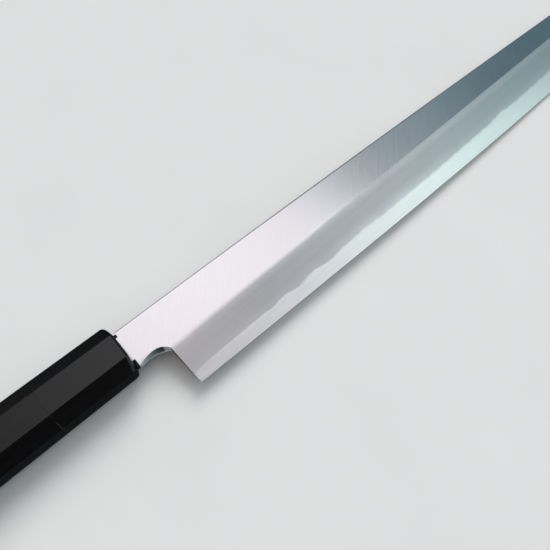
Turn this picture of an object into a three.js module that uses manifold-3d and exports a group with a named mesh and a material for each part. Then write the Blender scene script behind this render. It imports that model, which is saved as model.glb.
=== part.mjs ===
// A long single-bevel slicing knife with a rounded, sword-like tip and an octagonal handle, in millimetres.
// X runs along the handle's axis from the butt to the tip, Y from the cutting edge to the spine, and Z is up,
// out of the bevelled face: the knife lies on its hollow back.
import * as THREE from "three";
import { mergeVertices } from "three/addons/utils/BufferGeometryUtils.js";
import Module from "manifold-3d";

const wasm = await Module();
wasm.setup();

// Blade outline. X is counted from the ferrule's front face, Y and Z from the handle's axis.
const bladeLength = 300; // ferrule to tip point
const shoulderGap = 1; // bare tang between the ferrule and the blade's shoulders
const spineDrop = 3.4; // fall of the spine from the neck to the tip
const archReach = 8; // ferrule to the highest point of the arch under the neck
const archRise = 1.5; // height of the arch above the neck's lower corner
const archDrop = 3.3; // fall of the arch from its highest point to the ridge at the heel
const archBend = 2.6; // how late the arch turns down to the heel, as a power
const archFoot = 1; // how far the foot of the arch's wall lies below the ridge at the heel
const heelReach = 15.3; // ferrule to the heel's corner
const heelLean = 1; // how far the heel's upper end leans back to the ferrule
const heelHeight = 36.6; // spine to edge at the heel
const edgeRise = 3.4; // rise of the edge from the heel to where the tip's curve begins
const edgeBend = 3; // how late the edge turns up on its way to the tip, as a power
const tipCurve = 45; // length of the curved edge at the tip
const tipBelly = 35; // how far the edge's line carries on before the curve turns up
const tipBlunt = 0.8; // height left at the very point

// Blade section
const flatAtTip = 10.1; // spine to ridge where the tip's curve begins
const neckThickness = 4.2;
const tipThickness = 2.6; // where the tip's curve begins
const pointThickness = 0.5;
const spineEase = 0.5; // eased corners along the spine
const coveDepth = 0.4; // hollow that a round file left along the arch's wall
const hollowDepth = 0.35; // hollow of the back
const hollowRun = 30; // length over which the hollow fades in behind the heel
const rimWidth = 2.5; // flat rim left around the hollow

// Edge steel, welded under the iron
const steelThickness = 1.12;
const steelStart = 1.5; // shoulders to the start of the steel
const steelScarf = 4; // length of the slanting end of the steel in the neck
const steelTipShare = 0.42; // most of the blade's thickness that the steel takes towards the tip
const weldWave = 0.07; // height of the weld line's waves
const weldWaveLength = 32;
const weldWaveShift = 2; // where along the blade the waves begin, as an angle
const weldRipple = 2.3; // smaller waves on each wave
const weldGap = 0.03; // clearance that stands for the weld

// Tang
const tangLength = 95; // ferrule face to the tang's end
const tangHeight = 11.2; // at the shoulders
const spineShoulder = 2; // step from the tang up to the spine
const edgeShoulder = 3.8; // step from the tang down to the neck's lower corner
const faceShoulder = 0.2; // step on each face
const tangEndHeight = 7;
const tangEndThickness = 2.6;
const tangEase = 0.4;

// Handle, ferrule included
const handleLength = 145;
const ferruleLength = 34.5;
const frontHeight = 22; // octagon at the ferrule's front, across the edge and spine facets
const frontSideFacet = 10.5; // facet on each face of the knife
const frontEdgeFacet = 10.4; // facet on the edge and spine sides
const buttHeight = 24.5;
const frontBevel = 1.2;
const buttBevel = 1.5;
const seamBevel = 0.2; // fine bevel on both sides of the seam between ferrule and wood
const glueLine = 0.05;

// Inside the handle
const mouthWall = 8; // thickness of the ferrule's front wall
const sealWall = 0.6;
const sealDepth = 6;
const sealRecess = 0.2; // resin surface behind the ferrule's face
const dowelWall = 1; // wood left at the corners of the tang's pocket
const dowelEnd = 10; // solid dowel past the tang's end
const ferruleWall = 2.4; // horn beside the dowel, on the faces of the knife
const fitGap = 0.15; // clearance between pieces that go into each other
const cutterReach = 5; // how far a cutting shape stands out of what it cuts

// Fineness of the solids, and limits that keep eased corners inside thin walls
const roundSides = 32;
const stationStep = 4;
const tipSteps = 14;
const easeShare = 0.4;
const rimShare = 0.2;

// Sizes that follow from those above
const tipStart = bladeLength - tipCurve;
const backPlane = -neckThickness / 2;
const spineAtNeck = tangHeight / 2 + spineShoulder;
const neckCorner = -tangHeight / 2 - edgeShoulder;
const archTop = neckCorner + archRise;
const ridgeAtHeel = archTop - archDrop;
const edgeAtHeel = spineAtNeck - heelHeight;
const tangThickness = neckThickness - 2 * faceShoulder;
const heelTop = heelReach - heelLean;
const steelBegin = shoulderGap + steelStart;
const steelFull = steelBegin + steelScarf;
const pocketCorner = Math.hypot(tangHeight / 2 + fitGap, tangThickness / 2 + fitGap);
const dowelRadius = pocketCorner + dowelWall;
const boreRadius = dowelRadius + fitGap;
const frontThickness = 2 * (boreRadius + ferruleWall);
const dowelFront = -mouthWall - fitGap;
const dowelBack = -tangLength - dowelEnd;

// Lines of the blade, as heights over X
const mix = (from, to, share) => from + (to - from) * share;
const spineAt = (x) => spineAtNeck - spineDrop * (Math.max(x, 0) / bladeLength) ** 2;
const edgeBefore = (x) => edgeAtHeel + edgeRise * ((x - heelReach) / (tipStart - heelReach)) ** edgeBend;
const ridgeAtTip = spineAt(tipStart) - flatAtTip;
const bevelAtTip = ridgeAtTip - edgeBefore(tipStart);

// Steel layer above the back plane: it grows out of the neck, waves along the weld and thins at the tip.
function steelAt(x, thickness) {
  const grown = THREE.MathUtils.clamp((x - steelBegin) / steelScarf, 0, 1);
  const turn = (2 * Math.PI * x) / weldWaveLength;
  const wave = weldWave * (Math.sin(turn - weldWaveShift) + Math.sin(turn * weldRipple) / 2);
  return grown * Math.min(steelThickness + wave, steelTipShare * thickness);
}

// One cross-section of the blade. ridgeX and edgeX differ from x only on the slanting heel.
function station(x, ridge, edge, thickness, ridgeX = x, edgeX = x) {
  const hollow = THREE.MathUtils.smoothstep(x, heelReach, heelReach + hollowRun);
  const steel = steelAt(x, thickness);
  return { x, ridgeX, edgeX, spine: spineAt(x), ridge, edge, thickness, hollow, steel, cove: 0 };
}

const thicknessBefore = (x) => mix(neckThickness, tipThickness, Math.max(x, 0) / tipStart);

// Lower border of the neck's face: an arch that falls to the shoulders behind and to the ridge in front.
function archAt(x) {
  const isBehind = x < archReach;
  const along = (x - archReach) / ((isBehind ? shoulderGap : heelTop) - archReach);
  return archTop - (isBehind ? archRise * along ** 2 : archDrop * along ** archBend);
}

// Foot of the arch's slanting wall, on the back: it bends down from the shoulders to the heel.
function footAt(x) {
  const along = (x - shoulderGap) / (heelTop - shoulderGap);
  return mix(neckCorner, ridgeAtHeel - archFoot, along ** 3);
}

// The neck is a plate whose lower wall slants outwards to the back and is hollowed like a cove.
function neckStations() {
  const steelSteps = [0, 0.3, 1].map((share) => mix(steelBegin, steelFull, share));
  const archSteps = [0, 0.25, 0.5, 0.75, 0.98].map((share) => mix(archReach, heelTop, share));
  const places = [shoulderGap, ...steelSteps, ...archSteps].sort((a, b) => a - b);
  return places.map((x) => {
    const neck = station(x, archAt(x), footAt(x), thicknessBefore(x));
    neck.cove = Math.min(coveDepth, (neck.ridge - neck.edge) * easeShare);
    return neck;
  });
}

// The blade runs straight from the heel, and its edge then sweeps up to the spine.
function bladeStations() {
  const list = [station(heelTop, ridgeAtHeel, edgeAtHeel, thicknessBefore(heelTop), heelTop, heelReach)];
  const steps = Math.round((tipStart - heelReach) / stationStep);
  for (let i = 1; i <= steps; i++) {
    const x = mix(heelReach, tipStart, i / steps);
    const along = (x - heelReach) / (tipStart - heelReach);
    list.push(station(x, mix(ridgeAtHeel, ridgeAtTip, along), edgeBefore(x), thicknessBefore(x)));
  }
  const start = new THREE.Vector2(tipStart, edgeBefore(tipStart));
  const slope = (edgeBend * edgeRise) / (tipStart - heelReach);
  const belly = new THREE.Vector2(tipStart + tipBelly, start.y + slope * tipBelly);
  const point = new THREE.Vector2(bladeLength, spineAt(bladeLength) - tipBlunt);
  for (const corner of new THREE.QuadraticBezierCurve(start, belly, point).getPoints(tipSteps).slice(1)) {
    const along = (corner.x - tipStart) / tipCurve;
    const ridge = spineAt(corner.x) - mix(flatAtTip, tipBlunt / 2, along ** 2);
    const thickness = mix(pointThickness, tipThickness, (ridge - corner.y) / bevelAtTip);
    list.push(station(corner.x, ridge, corner.y, thickness));
  }
  return list;
}

// Place on the bevel (or on the arch's wall) at a height above the back.
function onBevel(s, height) {
  const share = height / s.thickness;
  return new THREE.Vector3(mix(s.edgeX, s.ridgeX, share), mix(s.edge, s.ridge, share), backPlane + height);
}

function ironRing(s) {
  const weld = backPlane + s.steel;
  const top = backPlane + s.thickness;
  const layer = s.thickness - s.steel;
  const ease = Math.min(spineEase, layer * easeShare, (s.spine - s.ridge) * easeShare);
  const middle = onBevel(s, s.steel + layer / 2);
  middle.y += s.cove;
  return [
    new THREE.Vector3(s.x, s.spine, weld),
    new THREE.Vector3(s.x, s.spine, top - ease),
    new THREE.Vector3(s.x, s.spine - ease, top),
    new THREE.Vector3(s.ridgeX, s.ridge, top),
    middle,
    onBevel(s, s.steel),
  ];
}

function steelRing(s) {
  const height = s.steel - weldGap;
  const rim = Math.min(rimWidth, (s.spine - s.edge) * rimShare);
  const ease = Math.min(spineEase, height * easeShare, rim * easeShare);
  const low = s.edge + rim;
  const high = s.spine - rim;
  const depth = Math.min(hollowDepth, height * easeShare) * s.hollow;
  const back = (y, rise) => new THREE.Vector3(s.x, y, backPlane + rise);
  const scoop = (share) => back(mix(low, high, share), depth * (1 - (2 * share - 1) ** 2));
  return [
    back(s.spine, height),
    onBevel(s, height),
    onBevel(s, 0),
    ...[0, 0.2, 0.5, 0.8, 1].map(scoop),
    back(s.spine - ease, 0),
    back(s.spine, ease),
  ];
}

const tangShare = (x) => (shoulderGap - x) / (shoulderGap + tangLength);
const tangHeightAt = (x) => mix(tangHeight, tangEndHeight, tangShare(x));
const tangThicknessAt = (x) => mix(tangThickness, tangEndThickness, tangShare(x));

// The tang's section has the same six corners as the iron's, so that one loft runs through both.
function tangRing(x) {
  const high = tangHeightAt(x) / 2;
  const out = tangThicknessAt(x) / 2;
  return [
    new THREE.Vector3(x, high, -out),
    new THREE.Vector3(x, high, out - tangEase),
    new THREE.Vector3(x, high - tangEase, out),
    new THREE.Vector3(x, -high + tangEase, out),
    new THREE.Vector3(x, -high, out - tangEase),
    new THREE.Vector3(x, -high, -out),
  ];
}

function rectangleRing(x, height, thickness) {
  const corner = (y, z) => new THREE.Vector3(x, (y * height) / 2, (z * thickness) / 2);
  return [corner(1, -1), corner(1, 1), corner(-1, 1), corner(-1, -1)];
}

// The handle's octagon grows evenly from the ferrule's front to the butt.
function octagonRing(x, inset = 0) {
  const growth = mix(1, buttHeight / frontHeight, -x / handleLength);
  const size = growth - (2 * inset) / frontThickness;
  const high = (frontHeight * size) / 2;
  const out = (frontThickness * size) / 2;
  const side = (frontSideFacet * size) / 2;
  const edge = (frontEdgeFacet * size) / 2;
  const corners = [
    [high, -edge], [high, edge], [side, out], [-side, out],
    [-high, edge], [-high, -edge], [-side, -out], [side, -out],
  ];
  return corners.map(([y, z]) => new THREE.Vector3(x, y, z));
}

// A closed solid through rings of corners that follow each other along X, with both ends closed.
function loft(rings) {
  const sides = rings[0].length;
  const corners = rings.flat();
  const faces = [];
  for (let r = 0; r + 1 < rings.length; r++) {
    for (let i = 0; i < sides; i++) {
      const next = (i + 1) % sides;
      const [a, b] = [r * sides + i, r * sides + next];
      faces.push(a, b, b + sides, a, b + sides, a + sides);
    }
  }
  const close = (first, isEnd) => {
    const ring = corners.slice(first, first + sides);
    const middle = ring.reduce((sum, corner) => sum.add(corner), new THREE.Vector3()).divideScalar(sides);
    const centre = corners.push(middle) - 1;
    for (let i = 0; i < sides; i++) {
      const [a, b] = [first + i, first + ((i + 1) % sides)];
      faces.push(centre, isEnd ? a : b, isEnd ? b : a);
    }
  };
  const last = (rings.length - 1) * sides;
  close(0, false);
  close(last, true);
  const geometry = new THREE.BufferGeometry().setFromPoints(corners);
  geometry.setIndex(faces);
  return geometry;
}

function cylinderAlongX(radius, from, to) {
  const geometry = new THREE.CylinderGeometry(radius, radius, to - from, roundSides);
  return geometry.rotateZ(-Math.PI / 2).translate((from + to) / 2, 0, 0);
}

function solidOf(geometry) {
  const bare = geometry.clone();
  bare.deleteAttribute("normal");
  bare.deleteAttribute("uv");
  const closed = mergeVertices(bare, 1e-4);
  const vertProperties = new Float32Array(closed.attributes.position.array);
  const triVerts = new Uint32Array(closed.index.array);
  return new wasm.Manifold(new wasm.Mesh({ numProp: 3, vertProperties, triVerts }));
}

function cut(body, ...tools) {
  const left = tools.reduce((solid, tool) => solid.subtract(solidOf(tool)), solidOf(body));
  const mesh = left.getMesh();
  const geometry = new THREE.BufferGeometry();
  geometry.setAttribute("position", new THREE.BufferAttribute(mesh.vertProperties, 3));
  geometry.setIndex(new THREE.BufferAttribute(mesh.triVerts, 1));
  return geometry;
}

// Soft iron: tang, neck and the upper layer of the blade, in one forging.
function bladeIron() {
  const tang = [-tangLength, shoulderGap].map(tangRing);
  return loft([...tang, ...neckStations().map(ironRing), ...bladeStations().map(ironRing)]);
}

// Hard steel: the lower layer, with the cutting edge and the hollow back.
function edgeSteel() {
  const covered = neckStations().filter((s) => s.steel > 2 * weldGap);
  return loft([...covered, ...bladeStations()].map(steelRing));
}

const mouthHeight = tangHeight + 2 * (sealWall + 2 * fitGap);
const mouthThickness = tangThickness + 2 * (sealWall + 2 * fitGap);

function ferrule() {
  const rings = [
    octagonRing(-ferruleLength, seamBevel),
    octagonRing(-ferruleLength + seamBevel),
    octagonRing(-frontBevel),
    octagonRing(0, frontBevel),
  ];
  const mouthRing = (x) => rectangleRing(x, mouthHeight, mouthThickness);
  const mouth = loft([-mouthWall - cutterReach, cutterReach].map(mouthRing));
  return cut(loft(rings), mouth, cylinderAlongX(boreRadius, -ferruleLength - cutterReach, -mouthWall));
}

function handleBody() {
  const front = -ferruleLength - glueLine;
  const rings = [
    octagonRing(-handleLength, buttBevel),
    octagonRing(-handleLength + buttBevel),
    octagonRing(front - seamBevel),
    octagonRing(front, seamBevel),
  ];
  return cut(loft(rings), cylinderAlongX(boreRadius, dowelBack - fitGap, front + cutterReach));
}

function coreDowel() {
  const pocketRing = (x) => rectangleRing(x, tangHeightAt(x) + 2 * fitGap, tangThicknessAt(x) + 2 * fitGap);
  const pocket = loft([-tangLength - fitGap, dowelFront + cutterReach].map(pocketRing));
  return cut(cylinderAlongX(dowelRadius, dowelBack, dowelFront), pocket);
}

function mouthSeal() {
  const gap = 2 * fitGap;
  const plugRing = (x) => rectangleRing(x, mouthHeight - gap, mouthThickness - gap);
  const slotRing = (x) => rectangleRing(x, tangHeight + gap, tangThickness + gap);
  const plug = loft([-sealDepth, -sealRecess].map(plugRing));
  return cut(plug, loft([-sealDepth - cutterReach, cutterReach].map(slotRing)));
}

const materials = {
  iron: new THREE.MeshStandardMaterial({ color: 0xb4b6b8, roughness: 0.42, metalness: 1 }),
  steel: new THREE.MeshStandardMaterial({ color: 0xdfe6e6, roughness: 0.2, metalness: 1 }),
  horn: new THREE.MeshStandardMaterial({ color: 0x1b1a1a, roughness: 0.35, metalness: 0 }),
  ebony: new THREE.MeshStandardMaterial({ color: 0x17140f, roughness: 0.5, metalness: 0 }),
  dowelWood: new THREE.MeshStandardMaterial({ color: 0xb39a6b, roughness: 0.8, metalness: 0 }),
  resin: new THREE.MeshStandardMaterial({ color: 0x0e0c0a, roughness: 0.6, metalness: 0 }),
};

function piece(name, geometry, material) {
  const mesh = new THREE.Mesh(geometry, material);
  mesh.name = name;
  return mesh;
}

const knife = new THREE.Group();
knife.add(piece("blade_iron", bladeIron(), materials.iron));
knife.add(piece("edge_steel", edgeSteel(), materials.steel));
knife.add(piece("ferrule", ferrule(), materials.horn));
knife.add(piece("handle_body", handleBody(), materials.ebony));
knife.add(piece("core_dowel", coreDowel(), materials.dowelWood));
knife.add(piece("mouth_seal", mouthSeal(), materials.resin));

// The origin lies under the middle of the knife, on the plane of its lowest point.
const box = new THREE.Box3().setFromObject(knife);
const middle = box.getCenter(new THREE.Vector3());
knife.position.set(-middle.x, -middle.y, -box.min.z);

export default knife;
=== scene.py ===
# A long single-bevel slicing knife with an octagonal handle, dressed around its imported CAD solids.
# Sizes are in millimetres in the knife's own frame: X from the butt to the tip, Y from the cutting edge to
# the spine, Z up out of the bevelled face, with the origin on the handle's axis at the ferrule's front face.
import math
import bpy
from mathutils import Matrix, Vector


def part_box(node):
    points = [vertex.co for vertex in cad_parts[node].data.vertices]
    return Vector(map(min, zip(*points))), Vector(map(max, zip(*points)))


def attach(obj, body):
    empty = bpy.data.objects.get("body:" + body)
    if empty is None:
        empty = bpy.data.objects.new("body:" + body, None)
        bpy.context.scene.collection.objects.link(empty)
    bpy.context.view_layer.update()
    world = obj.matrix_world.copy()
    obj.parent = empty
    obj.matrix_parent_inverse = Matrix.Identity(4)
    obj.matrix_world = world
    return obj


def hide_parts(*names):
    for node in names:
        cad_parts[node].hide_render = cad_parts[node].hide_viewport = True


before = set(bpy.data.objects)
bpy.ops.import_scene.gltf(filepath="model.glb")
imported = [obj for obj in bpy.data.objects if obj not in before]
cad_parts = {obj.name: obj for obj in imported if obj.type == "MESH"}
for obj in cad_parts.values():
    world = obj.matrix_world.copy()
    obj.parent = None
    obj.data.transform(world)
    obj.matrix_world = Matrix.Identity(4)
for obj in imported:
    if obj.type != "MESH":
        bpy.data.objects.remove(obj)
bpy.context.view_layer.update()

from types import SimpleNamespace

import bmesh
import bpy
from mathutils import Matrix, Vector

MM = 0.001

# Blade outline, as in the CAD source apart from the foot of the arch
BLADE_LENGTH = 300
SHOULDER_GAP = 1
SPINE_DROP = 3.4
ARCH_REACH = 8
ARCH_RISE = 1.5
ARCH_DROP = 3.3
ARCH_BEND = 2.6  # how late the arch turns down to the heel, as a power
ARCH_FOOT = 0.5  # how far the foot of the arch's wall lies below the ridge at the heel
ARCH_FOOT_RISE = 0.5  # how far the foot's line is lifted halfway there
HEEL_REACH = 15.3
HEEL_LEAN = 1
HEEL_HEIGHT = 36.6
EDGE_RISE = 3.4
EDGE_BEND = 3  # how late the edge turns up on its way to the tip, as a power
TIP_CURVE = 45
TIP_BELLY = 35
TIP_BLUNT = 0.8

# Blade section
FLAT_AT_TIP = 10.1
NECK_THICKNESS = 4.2
TIP_THICKNESS = 2.6
POINT_THICKNESS = 0.5
SPINE_EASE = 0.4
FLAT_HOLLOW = 0.035  # the flat is ground a trace hollow, on a big wheel
SOFT_REACH = 1.9  # width of the flat that was stoned down towards the arch, at the shoulder
SOFT_DROP = 0.28
COVE_SHARE = 0.8  # how near the arch's hollowed wall comes to a quarter round
LIP_WIDTH = 0.55  # the arch flares out into a narrow lip at its foot
LIP_LEAST = 0.03
LIP_SHARE = 0.7  # most of the wall's width that the lip takes
LIP_SLOPE = 0.27
LIP_STEEL_SHARE = 0.5  # most of the steel's thickness that the lip takes
HOLLOW_DEPTH = 0.35
HOLLOW_RUN = 30
RIM_WIDTH = 2.5
RIM_SHARE = 0.2  # most of the blade's height that one rim takes
RIDGE_ABOVE = 0.75  # the ridge is rounded by the stone from here on the flat, near the heel
RIDGE_ABOVE_LATER = 0.15  # and from here nearer the tip
RIDGE_CHANGE = (70, 125)  # X between which the one turns into the other
RIDGE_BELOW = 3  # to here on the bevel
ROLL_SHARE = 0.25  # most of the flat's or the bevel's width that the rounding takes
ROLL_POWER = 4  # how softly the rounding runs out into the bevel
HEEL_EASE = 0.15  # broken corner of the heel
HEEL_EASE_RUN = 0.6  # how far below the ridge it has its full width
HEEL_EASE_SHARE = 0.6  # most of the bevel's height that it takes, near the edge
EASE_SHARE = 0.4  # most of a wall that an eased corner or the hollow takes

# Edge steel
STEEL_AT_HEEL = 0.9
STEEL_THICKNESS = 1.115
STEEL_NEAR_TIP = 1.055
STEEL_HEEL_RUN = 5  # how soon it grows from the heel on
STEEL_CHANGE = (100, 160)  # X between which it thins towards the tip
STEEL_BEGIN = 2.5
STEEL_SCARF = 4
STEEL_TIP_SHARE = 0.42
WELD_WAVE = 0.105
WELD_CREST = 80  # X of one crest of the weld line; each wave beyond it is longer than the last
WELD_WAVE_GROWTH = 1.265
WELD_WAVES_BEGIN = (45, 65)  # X between which the waves grow
WELD_WAVES_END = (88, 107)  # and between which they fade
WELD_SWELLS = ((110.7, 7.1, 0.1), (205.6, 5.6, 0.11))  # broad swells further on: X, reach and rise
WELD_RIPPLE = 0.012
WELD_RIPPLE_LENGTH = 7.3
WELD_RIPPLE_BEGIN = (20, 40)
WELD_RIPPLE_RATIO = 1.8  # a second ripple is so much shorter, and shifted by an angle
WELD_RIPPLE_SHIFT = 1
STEEL_LEAST = 0.06  # thinnest steel that is drawn where it runs out in the neck

# Tang
TANG_LENGTH = 95
TANG_HEIGHT = 11.2
SPINE_SHOULDER = 2
EDGE_SHOULDER = 3.8
FACE_SHOULDER = 0.2
TANG_END_HEIGHT = 7
TANG_END_THICKNESS = 2.6
TANG_EASE = 0.4
TANG_LOWER = 0.7  # how much further the tang reaches down in front of the mouth

# Dark beads in the gap in front of the mouth; the one below the tang stands in for shade, a painted shade
BEAD_TOP = 1.0
BEAD_BOTTOM = -1.7
BEAD_GAP = 0.03

# Handle
HANDLE_LENGTH = 145
FERRULE_LENGTH = 34.5
FRONT_HEIGHT = 22
FRONT_THICKNESS = 19.309
FRONT_SIDE_FACET = 10.5
FRONT_EDGE_FACET = 10.4
BUTT_HEIGHT = 24.5
FRONT_BEVEL = 1.2
BUTT_BEVEL = 1.5
SEAM_BEVEL = 0.02
FRONT_DOME = 1.6  # how far the ferrule's front falls back at the spine and edge sides, as a fourth power
GLUE_LINE = 0.05
SEAM_GLUE_AND_GLINT = 0.3  # how far from the seam the horn is painted pale, for glue and its painted glint
ARRIS_RADIUS = 0.45  # sanded arrises between the facets
MOUTH_WALL = 8
MOUTH_HEIGHT = 13
MOUTH_THICKNESS = 5.6
BORE_RADIUS = 7.254
BORE_END = 105.15

# Sizes that follow from those above
TIP_START = BLADE_LENGTH - TIP_CURVE
BACK = -NECK_THICKNESS / 2
SPINE_AT_NECK = TANG_HEIGHT / 2 + SPINE_SHOULDER
NECK_CORNER = -TANG_HEIGHT / 2 - EDGE_SHOULDER
ARCH_TOP = NECK_CORNER + ARCH_RISE
RIDGE_AT_HEEL = ARCH_TOP - ARCH_DROP
EDGE_AT_HEEL = SPINE_AT_NECK - HEEL_HEIGHT
TANG_THICKNESS = NECK_THICKNESS - 2 * FACE_SHOULDER
HEEL_TOP = HEEL_REACH - HEEL_LEAN

# Place of the knife's own frame in the row frame, from the ferrule's CAD solid
ferrule_low, ferrule_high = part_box("ferrule")
ferrule_middle = (ferrule_low + ferrule_high) / 2
origin = Vector((ferrule_high.x, ferrule_middle.y, ferrule_middle.z))


def in_row_frame(point):
    return origin + Vector(point) * MM


def mix(start, end, share):
    return start + (end - start) * share


def clamp(value):
    return min(max(value, 0.0), 1.0)


def smooth(value, low, high):
    share = clamp((value - low) / (high - low))
    return share * share * (3 - 2 * share)


# Lines of the blade, as heights over X


def spine_at(x):
    return SPINE_AT_NECK - SPINE_DROP * (max(x, 0) / BLADE_LENGTH) ** 2


def edge_before(x):
    return EDGE_AT_HEEL + EDGE_RISE * ((x - HEEL_REACH) / (TIP_START - HEEL_REACH)) ** EDGE_BEND


def thickness_before(x):
    return mix(NECK_THICKNESS, TIP_THICKNESS, max(x, 0) / TIP_START)


def steel_at(x, thickness):
    """Thickness of the steel layer. Where it is thicker, the weld line lies higher on the bevel."""
    grown = clamp((x - STEEL_BEGIN) / STEEL_SCARF)
    layer = mix(STEEL_THICKNESS, STEEL_NEAR_TIP, smooth(x, *STEEL_CHANGE))
    layer -= (STEEL_THICKNESS - STEEL_AT_HEEL) * math.exp(-max(x - HEEL_REACH, 0) / STEEL_HEEL_RUN)
    turn = 2 * math.pi * math.log(max(x, 1) / WELD_CREST) / math.log(WELD_WAVE_GROWTH)
    waving = smooth(x, *WELD_WAVES_BEGIN) * (1 - smooth(x, *WELD_WAVES_END))
    layer += WELD_WAVE * waving * math.cos(turn)
    for middle, reach, rise in WELD_SWELLS:
        layer += rise * math.exp(-(((x - middle) / reach) ** 2))
    ripple = 2 * math.pi * x / WELD_RIPPLE_LENGTH
    ripples = math.sin(ripple) + math.sin(WELD_RIPPLE_RATIO * ripple + WELD_RIPPLE_SHIFT)
    layer += WELD_RIPPLE * smooth(x, *WELD_RIPPLE_BEGIN) * ripples
    return grown * min(layer, STEEL_TIP_SHARE * thickness)


def arch_at(x):
    is_behind = x < ARCH_REACH
    along = (x - ARCH_REACH) / ((SHOULDER_GAP if is_behind else HEEL_TOP) - ARCH_REACH)
    return ARCH_TOP - (ARCH_RISE * along**2 if is_behind else ARCH_DROP * along**ARCH_BEND)


def foot_at(x):
    along = (x - SHOULDER_GAP) / (HEEL_TOP - SHOULDER_GAP)
    return mix(NECK_CORNER, RIDGE_AT_HEEL - ARCH_FOOT, along**3) + ARCH_FOOT_RISE * 4 * along * (1 - along)


RIDGE_AT_TIP = spine_at(TIP_START) - FLAT_AT_TIP
BEVEL_AT_TIP = RIDGE_AT_TIP - edge_before(TIP_START)


def station(x, ridge, edge, thickness, kind, ridge_x=None, edge_x=None):
    """One cross-section of the blade."""
    spine = spine_at(x)
    neck = 1 - smooth(x, SHOULDER_GAP, ARCH_REACH)
    rolled = mix(RIDGE_ABOVE, RIDGE_ABOVE_LATER, smooth(x, *RIDGE_CHANGE))
    lip = min(LIP_WIDTH * smooth(x, STEEL_BEGIN, ARCH_REACH), LIP_SHARE * (ridge - edge))
    return SimpleNamespace(
        x=x,
        ridge_x=x if ridge_x is None else ridge_x,
        edge_x=x if edge_x is None else edge_x,
        spine=spine,
        ridge=ridge,
        edge=edge,
        thickness=thickness,
        kind=kind,
        border=min(mix(rolled, SOFT_REACH, neck), ROLL_SHARE * (spine - ridge)),
        soft=SOFT_DROP * neck,
        lip=max(lip, LIP_LEAST),
        hollow=smooth(x, HEEL_REACH, HEEL_REACH + HOLLOW_RUN),
        steel=steel_at(x, thickness),
    )


NECK_STEP = 0.35
NECK_END = 0.05  # the neck's last section lies so far behind the heel
BLADE_STEP = 1.0
TIP_STEPS = 44


def neck_stations():
    count = round((HEEL_TOP - SHOULDER_GAP) / NECK_STEP)
    places = [mix(SHOULDER_GAP, HEEL_TOP, i / count) for i in range(count)]
    places.append(HEEL_TOP - NECK_END)
    return [station(x, arch_at(x), foot_at(x), thickness_before(x), "neck") for x in places]


def blade_stations():
    made = []
    for kind, inward in (("heel", 0), ("blade", HEEL_EASE)):
        ridge_x, edge_x = HEEL_TOP + inward, HEEL_REACH + inward
        thickness = thickness_before(ridge_x)
        made.append(station(ridge_x, RIDGE_AT_HEEL, EDGE_AT_HEEL, thickness, kind, ridge_x, edge_x))
    count = round((TIP_START - HEEL_REACH) / BLADE_STEP)
    for i in range(1, count + 1):
        x = mix(HEEL_REACH, TIP_START, i / count)
        ridge = mix(RIDGE_AT_HEEL, RIDGE_AT_TIP, i / count)
        made.append(station(x, ridge, edge_before(x), thickness_before(x), "blade"))
    start = Vector((TIP_START, edge_before(TIP_START)))
    slope = EDGE_BEND * EDGE_RISE / (TIP_START - HEEL_REACH)
    belly = start + Vector((1, slope)) * TIP_BELLY
    point = Vector((BLADE_LENGTH, spine_at(BLADE_LENGTH) - TIP_BLUNT))
    for i in range(1, TIP_STEPS + 1):
        share = i / TIP_STEPS
        corner = start * (1 - share) ** 2 + belly * 2 * share * (1 - share) + point * share**2
        along = (corner.x - TIP_START) / TIP_CURVE
        ridge = spine_at(corner.x) - mix(FLAT_AT_TIP, TIP_BLUNT / 2, along**2)
        thickness = mix(POINT_THICKNESS, TIP_THICKNESS, (ridge - corner.y) / BEVEL_AT_TIP)
        made.append(station(corner.x, ridge, corner.y, thickness, "blade"))
    return made


def face_drop(s, below):
    """How far the face lies under the flat, at a distance below the ridge or above it.

    Over the neck the flat only bends down towards the arch. Elsewhere it rolls over the ridge, and the
    straight bevel then takes it to the back.
    """
    if s.kind == "neck":
        return s.soft * clamp(1 + below / s.border) ** 2
    width = s.ridge - s.edge
    reach = min(RIDGE_BELOW, ROLL_SHARE * width)
    run = s.border + reach
    share = clamp((below + s.border) / run)
    rolled = run * (share - (1 - (1 - share) ** ROLL_POWER) / ROLL_POWER)
    slope = s.thickness / ((1 - 1 / ROLL_POWER) * run + width - reach)
    return slope * (rolled + max(below - reach, 0))


def on_face(s, height):
    """Place on the bevel, or on the hollowed wall of the arch, at a height above the back."""
    share = height / s.thickness
    if s.kind == "neck":
        lip_height = s.lip * LIP_SLOPE
        up = clamp((height - lip_height) / (s.thickness - lip_height))
        cove = 1 - math.sqrt(1 - (1 - up) ** 2)
        y = s.ridge - (s.ridge - s.edge - s.lip) * mix(1 - up, cove, COVE_SHARE)
        y -= s.lip * clamp(1 - height / lip_height)
        return (s.x, y, BACK + height - s.soft * share**2)
    y = mix(s.edge, s.ridge, share)
    z = BACK + s.thickness - face_drop(s, s.ridge - y)
    if s.kind == "heel":
        z -= min(HEEL_EASE * clamp((s.ridge - y) / HEEL_EASE_RUN), HEEL_EASE_SHARE * height)
    return (mix(s.edge_x, s.ridge_x, share), y, z)


# Where the points of a section lie, as shares of each zone's width
EASE_STEPS = 5
FLAT_SHARES = (0.02, 0.12, 0.25, 0.38, 0.5, 0.62, 0.75, 0.9)
BORDER_SHARES = (1, 0.8, 0.6, 0.42, 0.26, 0.12)
BEVEL_SHARES = (0, 0.015, 0.035, 0.06, 0.09, 0.13, 0.18, 0.24, 0.32, 0.42, 0.54, 0.68, 0.8, 0.9, 0.96, 1)
EDGE_SHARES = (0, 0.1, 0.3, 0.6, 1)
HOLLOW_STEPS = 16


def corner_arc(x, y, z, radius, steps=EASE_STEPS):
    """Rounded corner between the spine's wall and the face, for a corner at (y, z)."""
    turns = [math.pi / 2 * i / steps for i in range(steps + 1)]
    return [(x, y - radius * (1 - math.cos(t)), z - radius * (1 - math.sin(t))) for t in turns]


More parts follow.
